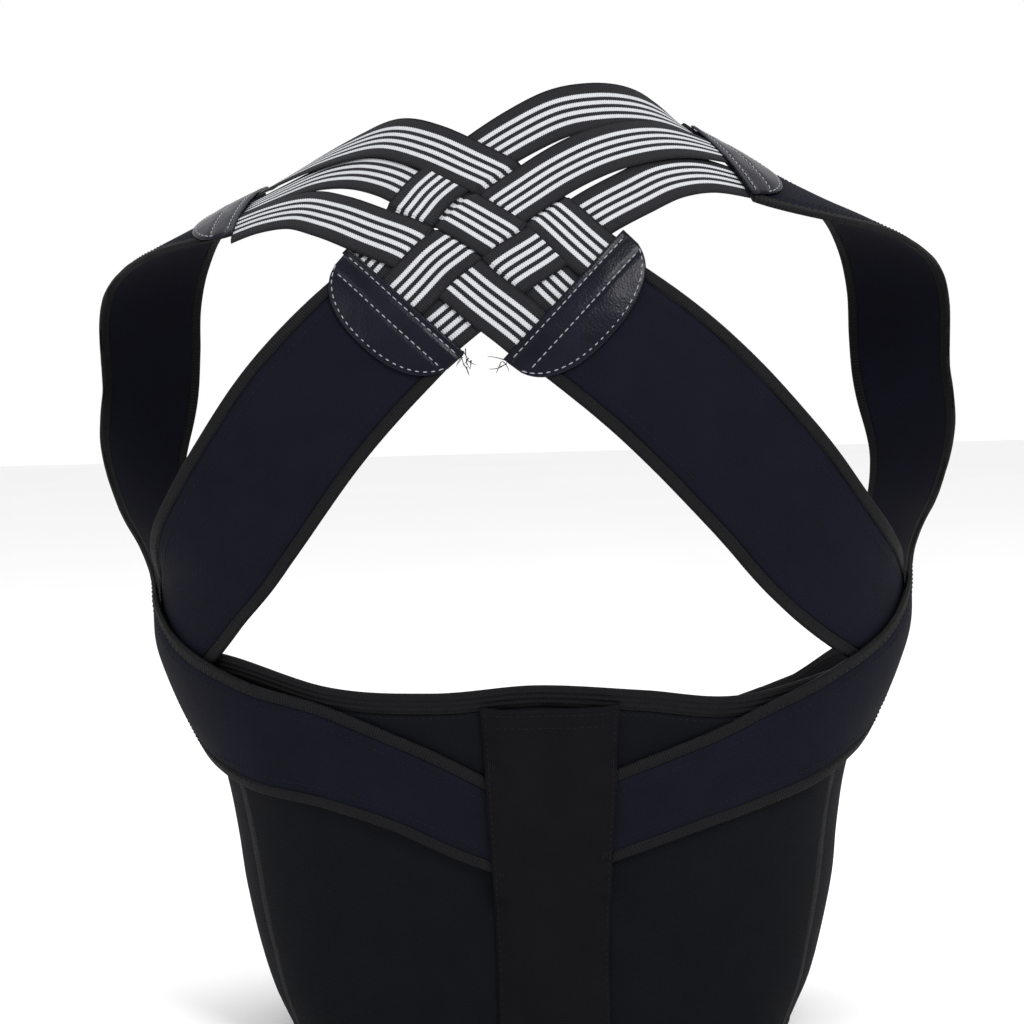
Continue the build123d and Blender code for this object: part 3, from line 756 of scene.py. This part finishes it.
def weave_lift(points, run, name, lines):
    """Raises a band over some of the bands it crosses and lowers it under the others."""
    found = crossings(name, lines)
    apart = {}
    for _, _, crossed in found:
        ways = points[..., None, :] - lines[crossed][0]
        apart[crossed] = np.linalg.norm(ways, axis=-1).min(-1)
    lift = np.full(points.shape[:-1], SKIN + WEAVE_RISE * found[0][1])
    for (before, was_over, first), (after, is_over, second) in zip(found, found[1:]):
        share = apart[first] / (apart[first] + apart[second])
        share = np.where(run < before, 0, np.where(run > after, 1, share))
        turn = ease((share - 0.5) / WEAVE_TURN + 0.5)
        lift = lift + WEAVE_RISE * (int(is_over) - int(was_over)) * turn
    return lift


def make_bands():
    """Makes the six woven bands."""
    lines = {name: route_points(route, FINE_ROWS) for name, route in BANDS.items()}
    half = widths(BAND_WIDTH)
    for name, route in BANDS.items():
        side = name.split("_")[0]
        other = "right" if side == "left" else "left"
        grid = ribbon(stretched(route, BAND_STRETCH, BAND_STRETCH), half, half, 15)
        ends = (row_at(-beyond(grid, other + "_lower_patch"), -BAND_TUCK),
                row_at(beyond(grid, side + "_shoulder_patch"), BAND_TUCK))
        base, flat = cut(grid, ends, 0.9)
        lift = weave_lift(base, flat[..., 0] - BAND_STRETCH, name, lines)
        fill = rounded(15, 0.12) * 0.5
        cloth_sheet(name, base, flat, lift, BAND_THICK * (0.5 + fill), BAND_THICK * (0.5 - fill),
                    STRIPED, "harness", (name,))


# Straps.

def fold_over(sign):
    """Returns the two bodies and the ends of a front panel's hinge line, for the cloth that crosses
    it.
    """
    side = "right" if sign > 0 else "left"
    ends = ring_point(np.array([FOLD_START, FOLD_END]) * sign, np.array([90.0, 90.0])) * MM
    return ("harness", side + "_front", tuple(ends[0]), tuple(ends[1]))


def padded_strap(name, route, half, lift_at, ends, nodes, body, seed):
    """Makes a strap's padded middle."""
    inner = lambda share: half(share) - BINDING_WIDTH + 1.2
    grid = ribbon(route, inner, inner, 24)
    base, flat = cut(grid, ends(grid), 2.2)
    puff = rounded(24, 0.3)
    wobble = ripples(flat, 16.0, 0.16, seed) * puff
    outer = STRAP_THICK * (0.62 + 0.44 * puff) + wobble
    return cloth_sheet(name, base, flat, lift_at(base), outer, 0.3 * (1 - puff), STRAP, body,
                       nodes)


def edge_binding(name, route, half, lift_at, ends, sign, body, nodes=()):
    """Makes the tape folded over one edge of a strap."""
    fold = lambda s: BINDING_WIDTH - half(s)
    grid = ribbon(route, *((half, fold) if sign < 0 else (fold, half)), 10)
    base, flat = cut(grid, ends(grid), 2.0)
    curve = rounded(10, 0.55, 2.2)
    wobble = ripples(flat, 9.0, 0.10, 3.0 + sign)
    outer = BINDING_THICK * 0.5 * (1 + curve) + wobble
    inner = BINDING_THICK * 0.5 * (1 - curve)
    return cloth_sheet(name, base, flat, lift_at(base) - 0.1, outer, inner, BINDING, body,
                       nodes)


def strap_stitches(name, route, half, lift_at, ends, inset, body, sides=(-1, 1)):
    """Sews a line of stitches beside each edge of a strap."""
    lines = []
    for sign in sides:
        line = line_beside(route, lambda s: sign * (half(s) - inset), ends)
        top = STRAP_THICK * 1.03 if inset > BINDING_WIDTH else BINDING_THICK - 0.15
        lines.append((line, lift_at(line) + top))
    return rows_of_stitches(name, lines, 3.6, 2.5, SEAM_THREAD, DARK_THREAD, body)


def seam_row(route, sign):
    """Finds the row of a cross strap's route where its tab starts, and the rows per millimetre."""
    middle, run = route_points(route, FINE_ROWS)
    seam = np.array(TAB_SEAM, float) * (sign, 1, 1)
    return np.linalg.norm(middle - seam, axis=1).argmin(), (FINE_ROWS - 1) / run[-1]


def cross_body_lift(p):
    """A cross strap's height, also where it lies on the rising outer front panel."""
    return cross_lift(p) + np.where(angle_of(p) > 90, flap_rise(angle_of(p)), 0)


def make_cross_straps():
    """Makes the cross straps from their patches to their tabs, across the front hinges."""
    for side, sign in SIDES:
        route = cross_route(side, sign)
        half = widths(CROSS_WIDTH)
        seam, _ = seam_row(route, sign)
        name, body = side + "_cross_strap", fold_over(sign)
        ends = lambda grid: (row_at(beyond(grid, side + "_lower_patch"), STRAP_TUCK), seam)
        shape = (route, half, cross_body_lift, ends)
        padded_strap(name, *shape, (name, side + "_strap_end"), body, sign + 2.0)
        edge_binding(name + "_edge_a", *shape, -1, body, (side + "_cross_binding",))
        edge_binding(name + "_edge_b", *shape, 1, body)
        strap_stitches(name + "_edge_stitches", *shape, 4.6, body)
        strap_stitches(name + "_seam_stitches", *shape, 10.5, body)


def make_body_straps():
    """Makes the body straps from the shoulder patches to the stay pocket."""
    for side, sign in SIDES:
        route = stretched(whole_route(BODY_STRAPS[side], BODY_FRONT, sign), BODY_STRETCH, 0)
        half = widths(BODY_WIDTH)
        ends = lambda grid: (row_at(beyond(grid, side + "_shoulder_patch"), STRAP_TUCK),
                             row_at(-sign * grid[..., 0], -POCKET_TUCK[side]))
        name = side + "_body_strap"
        shape = (route, half, body_lift, ends)
        padded_strap(name, *shape, (name,), "harness", sign + 5.0)
        edge_binding(name + "_edge_a", *shape, -1, "harness", (side + "_body_binding",))
        edge_binding(name + "_edge_b", *shape, 1, "harness")
        strap_stitches(name + "_edge_stitches", *shape, 4.6, "harness")
        strap_stitches(name + "_seam_stitches", *shape, 10.5, "harness")


def make_tabs():
    """Makes each cross strap's hook tab and the tab's hook pad."""
    for side, sign in SIDES:
        route = cross_route(side, sign)
        seam, per_mm = seam_row(route, sign)
        half = widths(CROSS_WIDTH)
        grid = ribbon(route, half, half, 22)
        base, flat = cut(grid, (seam + 0.0, FINE_ROWS - 1.0), 1.5)
        rows = np.arange(len(base))
        tips = np.minimum(1, np.minimum(rows, rows[::-1]) / 3 + 0.55)[:, None]
        thick = (STRAP_THICK - 0.7) * (0.5 + 0.5 * rounded(22, 0.2)) * tips
        thick = thick + ripples(flat, 12.0, 0.12, sign + 8.0)
        start, end = base[0, 11] * MM, base[int(TAB_FOLD / 1.5), 11] * MM
        cloth_sheet(side + "_hook_tab", base, flat, tab_lift(base) + HOOK_THICK + 0.2, thick, 0.0,
                    STRAP, (side + "_front", side + "_tab", tuple(start), tuple(end)),
                    (side + "_hook_tab",))
        narrow = ribbon(route, steady(HOOKS_WIDTH / 2), steady(HOOKS_WIDTH / 2), 14)
        before, after = HOOKS_INSET
        base, flat = cut(narrow, (seam + before * per_mm, FINE_ROWS - 1 - after * per_mm), 1.5)
        cloth_sheet(side + "_tab_hooks", base, flat, tab_lift(base) + 0.1, HOOK_THICK * 0.9, 0.0,
                    HOOKS, side + "_tab", (side + "_tab_hooks",))


# Belt.

def belt_cloth(name, start, end, low, high, body, nodes, rise, seed):
    """Makes a section of the belt's padded cloth."""
    count = int(abs(end - start) * 1.0)
    base, flat = panel(start, end, low, high, count, 64)
    lift = SKIN + (rise(np.linspace(start, end, count))[:, None] if rise else 0.0)
    puff = rounded(64, 0.07)
    outer = BELT_THICK * (0.6 + 0.42 * puff) + ripples(flat, 22.0, 0.22, seed) * puff
    return cloth_sheet(name, base, flat, lift, outer, 0.25 * (1 - puff), BELT, body,
                       nodes)


def belt_edge(name, start, end, low, high, body, nodes, rise, ridges, look):
    """Makes a section of the trim or hem along one edge of the belt."""
    count = int(abs(end - start) * 1.5)
    base, flat = panel(start, end, low, high, count, 26)
    lift = SKIN + (rise(np.linspace(start, end, count))[:, None] if rise else 0.0)
    place = np.linspace(0, 1, 26)
    fold = rounded(26, 0.3, 2.2)
    ribbing = 0.22 * np.cos(2 * np.pi * ridges * place) if ridges else 0 * place
    outer = BELT_THICK * (0.5 + 0.56 * fold) + ribbing * fold
    inner = BELT_THICK * 0.5 * (1 - fold)
    return cloth_sheet(name, base, flat, lift, outer, inner, look, body, nodes)


def make_belt():
    """Makes the belt's back and its two sides, which run on into the front panels."""
    low = lambda a: belt_bottom(a) + BINDING_WIDTH - 1.0
    high = lambda a: belt_top(a) - trim_height(a) + 1.0
    top_low = lambda a: belt_top(a) - trim_height(a)
    bottom_high = lambda a: belt_bottom(a) + BINDING_WIDTH
    sections = [("back", -SIDE_SEAM, SIDE_SEAM, "harness", None)]
    for side, sign, rise in (("left", -1, None), ("right", 1, flap_rise)):
        sections.append((side, sign * (SIDE_SEAM + 0.15), sign * FLAP_END, fold_over(sign), rise))
    for k, (side, start, end, body, rise) in enumerate(sections):
        cloth_nodes = (("back_panel",) if side == "back"
                       else (side + "_side_panel", side + "_front_panel"))
        top_nodes = ("belt_top_trim",) if side == "back" else (side + "_front_binding",)
        bottom_nodes = ("belt_bottom_binding",) if side == "back" else ()
        belt_cloth(side + "_belt_cloth", start, end, low, high, body, cloth_nodes, rise, k + 1.0)
        belt_edge(side + "_belt_trim", start, end, top_low, belt_top, body, top_nodes, rise, 4,
                  RIBBED)
        belt_edge(side + "_belt_hem", start, end, belt_bottom, bottom_high, body, bottom_nodes,
                  rise, 0, BINDING)
        belt_stitches(side, start, end, body, rise)
    pad, flat = panel(*HOOK_PAD_SPAN, lambda a: belt_bottom(a) + HOOK_PAD_INSET,
                      lambda a: belt_top(a) - HOOK_PAD_INSET, 18, 40)
    cloth_sheet("front_hook_pad", pad, flat, SECOND_LAYER + 0.1, HOOK_THICK * 0.95, 0.0, HOOKS,
                "right_front", ("front_hook_pad",))


def belt_stitches(side, start, end, body, rise):
    """Sews a line of stitches beside the trim and the hem."""
    angles = np.linspace(start, end, int(abs(end - start) * 1.2))
    up = SKIN + (rise(angles) if rise else 0.0) + BELT_THICK * 0.93
    seam = ring_point(angles, belt_top(angles) - trim_height(angles) - 1.6)
    hem = ring_point(angles, belt_bottom(angles) + BINDING_WIDTH - 1.2)
    rows_of_stitches(side + "_belt_stitches", [(seam, up), (hem, up + 0.2)], 3.4, 2.4, SEAM_THREAD,
                     DARK_THREAD, body)


def side_seams():
    """Tape over the seam between the back panel and each side panel."""
    for side, sign in SIDES:
        low = lambda a: belt_bottom(a) + BINDING_WIDTH - 0.5
        high = lambda a: belt_top(a) - TRIM_HEIGHT + 0.5
        base, flat = panel(sign * SIDE_SEAM - 1.3, sign * SIDE_SEAM + 1.3, low, high, 9, 90)
        base, flat = np.swapaxes(base, 0, 1)[::-1], np.swapaxes(flat, 0, 1)[::-1, :, ::-1]
        curve = rounded(9, 0.8, 2.0)
        cloth_sheet(side + "_seam_tape", base, flat, SKIN + BELT_THICK * 0.9,
                    0.15 + 0.35 * curve, -0.4, BINDING, "harness")


# Stay pocket.

def make_pocket():
    """Makes the stay pocket, its stitches and its bar tacks."""
    columns, rows = 34, 120
    xs = np.linspace(POCKET_MIDDLE - POCKET_WIDTH / 2, POCKET_MIDDLE + POCKET_WIDTH / 2, columns)
    zs = np.linspace(0.5, POCKET_TOP, rows)
    grid_x, grid_z = np.meshgrid(xs, zs, indexing="ij")
    base = ring_point(np.degrees(np.arctan2(grid_x, BACK_DEPTH + 0 * grid_x)), grid_z)
    flat = np.stack([grid_z, grid_x - POCKET_MIDDLE], -1)
    across = np.abs(np.linspace(-1, 1, columns))[:, None]
    strap_here = ease((grid_z - STRAP_LOW) / 10) * ease((STRAP_HIGH - grid_z) / 10)
    edge = ease((1 - across) / 0.34)
    stand = SECOND_LAYER + 0.15 + (THIRD_LAYER - SECOND_LAYER) * np.maximum(edge, strap_here)
    stays = 0.5 * np.exp(-((np.abs(grid_x - POCKET_MIDDLE) - 10) / 5)**2)
    outer = POCKET_THICK * (0.55 + 0.45 * rounded(columns, 0.08))[:, None] + stays
    outer = outer + ripples(flat, 13.0, 0.2, 9.0) * edge
    cloth_sheet("stay_pocket", base, flat, stand, outer, 0.0, POCKET, "harness",
                ("stay_pocket",))
    lines = []
    for k in (1, -2):
        lines.append((base[k], stand[k] + POCKET_THICK * 0.9))
    for height in (POCKET_TOP - 2.5, POCKET_TOP - 9.0):
        row = np.abs(zs - height).argmin()
        lines.append((base[:, row], stand[:, row] + outer[:, row] - 0.05))
    rows_of_stitches("pocket_stitches", lines, 3.2, 2.3, SEAM_THREAD, DARK_THREAD, "harness")
    bars = []
    for column in (2, -3):
        for height in (148.0, 104.0 if column < 0 else 96.0):
            near = np.abs(zs - height).argmin()
            for shift in range(-2, 3):
                spot = base[column, near - 3:near + 4]
                bars.append((spot + np.array([shift * 0.8, 0, 0]),
                             stand[column, near - 3:near + 4] + POCKET_THICK + 0.1))
    rows_of_stitches("pocket_bar_tacks", bars, 4.5, 3.8, 0.3, DARK_THREAD, "harness")


# Patches.

PATCH_CROWN = 0.9


def patch_arc(share):
    """Returns how deep a patch's half moon is along its straight edge."""
    bulge = np.abs(2 * share - 1)**PATCH_POWER
    return PATCH_CORNER + (PATCH_DEPTH - PATCH_CORNER) * (1 - bulge)**(1 / PATCH_POWER)


def patch_crown(share, inset):
    """Returns how much a patch swells over the seam allowance under it."""
    return PATCH_CROWN * np.sin(np.pi * share) * np.sin(np.pi * np.clip(inset, 0, 1))


def make_patches():
    """Makes the half-moon leather patches."""
    for k, (name, edge) in enumerate(PATCHES.items()):
        grid = ribbon(edge, steady(0.0), patch_arc, 40, 90)
        base, flat = grid[..., :3], grid[..., 3:]
        rows = np.arange(90)
        tips = np.minimum(1, np.minimum(rows, rows[::-1]) / 3 + 0.35)[:, None]
        crown = patch_crown(np.linspace(0, 1, 90)[:, None], np.linspace(0, 1, 40))
        outer = PATCH_THICK * (0.35 + 0.65 * rounded(40, 0.1) * tips) + crown
        outer = outer - 0.55 * np.exp(-((flat[..., 1] - 3.0) / 1.1)**2)
        outer = outer - 0.45 * np.exp(-((flat[..., 1] - 12.0) / 1.2)**2)
        outer = np.maximum(outer, 0.45) + ripples(flat, 9.0, 0.16, k + 1.0)
        cloth_sheet(name, base, flat, PATCH_LAYER, outer, 0.0, LEATHER, "harness",
                    (name,))
        sew_patch(name, edge)


def sew_patch(name, edge):
    """Sews two rows beside the straight edge and one along the arc."""
    lines = []
    for inset, trim in ((3.0, 0.03), (12.0, 0.06)):
        grid = ribbon(edge, steady(-inset), steady(inset), 2, 140)[:, 0, :3]
        share = np.linspace(0, 1, 140)
        rise = patch_crown(share, inset / patch_arc(share))
        keep = slice(int(140 * trim), int(140 * (1 - trim)))
        lines.append((grid[keep], (PATCH_LAYER + PATCH_THICK - 0.35 + rise)[keep]))
    inset = lambda s: patch_arc(s) - 2.4
    grid = ribbon(edge, lambda s: -inset(s), inset, 2, 200)[3:-3, 0, :3]
    lines.append((grid, np.full(len(grid), PATCH_LAYER + PATCH_THICK + 0.05)))
    # These stitches use thread painted pale grey, as painted glints on dark navy thread.
    rows_of_stitches(name + "_stitches", lines, 3.6, 2.6, 0.3, GLINT_PAINTED_THREAD, "harness")


def frayed_threads():
    """Loose thread ends at the lower patches' corners."""
    draw = np.random.default_rng(7)
    points, faces = [], []
    for corner, count in (((-28, -125, 333), 12), ((-11, -126, 331), 7), ((44, -108, 387), 5)):
        root = on_torso(np.array(corner, float)[None])[0]
        normal = outwards(root[None])[0]
        root = root + normal * 3.4
        for _ in range(count):
            aim = draw.normal(size=3) * np.array([1.0, 0.5, 1.0]) + np.array([0, -0.2, -0.8])
            aim /= np.linalg.norm(aim)
            curl = draw.normal(size=3) * 0.5
            reach = draw.uniform(3.0, 7.0)
            start = root + draw.normal(size=3) * np.array([2.0, 0.2, 2.0])
            spine = [start + aim * reach * t + curl * reach * t * t * 0.5
                     for t in np.linspace(0, 1, 6)]
            base = len(points)
            for i, spot in enumerate(spine):
                fat = 0.26 * (1 - 0.12 * i)
                for k in range(4):
                    turn = math.pi * k / 2
                    points.append(spot + fat * np.array([math.cos(turn), 0, math.sin(turn)]))
            for i in range(5):
                for k in range(4):
                    a, b = base + i * 4 + k, base + i * 4 + (k + 1) % 4
                    faces.append([a, b, b + 4, a + 4])
            faces.append([base + 3, base + 2, base + 1, base])
            faces.append([base + 20, base + 21, base + 22, base + 23])
    make_piece("frayed_threads", points, faces, None, DARK_THREAD, "harness")


def finish_cad_nodes():
    """Gives the stays and their tips, which stay as CAD made them, their materials."""
    for node, look in (("left_stay", STEEL), ("right_stay", STEEL), ("stay_tips", TIPS)):
        piece = bpy.data.objects[node]
        piece.data.materials.clear()
        piece.data.materials.append(look)


# Stage.

def make_stage():
    """Makes the floor, the white surroundings and three soft lights."""
    mesh = bpy.data.meshes.new("floor")
    size = 6.0
    mesh.from_pydata([(-size, -size, 0), (size, -size, 0), (size, size, 0), (-size, size, 0)], [],
                     [(0, 1, 2, 3)])
    mesh.materials.append(backdrop())
    floor = bpy.data.objects.new("floor", mesh)
    floor.location.z = -0.0005
    bpy.context.scene.collection.objects.link(floor)
    world = bpy.data.worlds.new("studio")
    world.use_nodes = True
    world.node_tree.nodes["Background"].inputs[0].default_value = (1.0, 1.0, 1.0, 1)
    world.node_tree.nodes["Background"].inputs[1].default_value = 1.0
    bpy.context.scene.world = world
    for name, place, size, power in (("key", (0.9, -1.5, 1.6), 0.7, 36.0),
                                     ("fill", (-1.4, -1.2, 1.0), 1.2, 10.0),
                                     ("top", (0.0, 0.3, 2.0), 1.2, 12.0)):
        lamp = bpy.data.lights.new(name, "AREA")
        lamp.energy = power
        lamp.size = size
        light = bpy.data.objects.new(name, lamp)
        light.location = place
        aim = Vector((0, 0, 0.28)) - Vector(place)
        light.rotation_euler = aim.to_track_quat("-Z", "Y").to_euler()
        bpy.context.scene.collection.objects.link(light)


def make_camera():
    """Places the camera behind the wearer, a little above the shoulder blades."""
    lens = bpy.data.cameras.new("camera")
    lens.sensor_width = SENSOR
    lens.lens = FOCAL_PIXELS * SENSOR / PICTURE_WIDTH
    lens.clip_end = 50
    camera = bpy.data.objects.new("camera", lens)
    camera.location = Vector(CAMERA_PLACE) * MM
    pitch, roll = math.radians(CAMERA_PITCH), math.radians(CAMERA_ROLL)
    ahead = Vector((0, math.cos(pitch), -math.sin(pitch)))
    right, up = Vector((1, 0, 0)), Vector((1, 0, 0)).cross(ahead)
    rolled = right * math.cos(roll) - up * math.sin(roll)
    turned = right * math.sin(roll) + up * math.cos(roll)
    axes = np.array([rolled, turned, -ahead]).T
    camera.rotation_euler = Matrix(axes.tolist()).to_euler()
    bpy.context.scene.collection.objects.link(camera)
    bpy.context.scene.camera = camera


make_camera()
make_stage()
make_bands()
make_cross_straps()
make_body_straps()
make_tabs()
make_belt()
side_seams()
make_pocket()
make_patches()
frayed_threads()
finish_cad_nodes()
bpy.context.scene.view_settings.view_transform = "Standard"
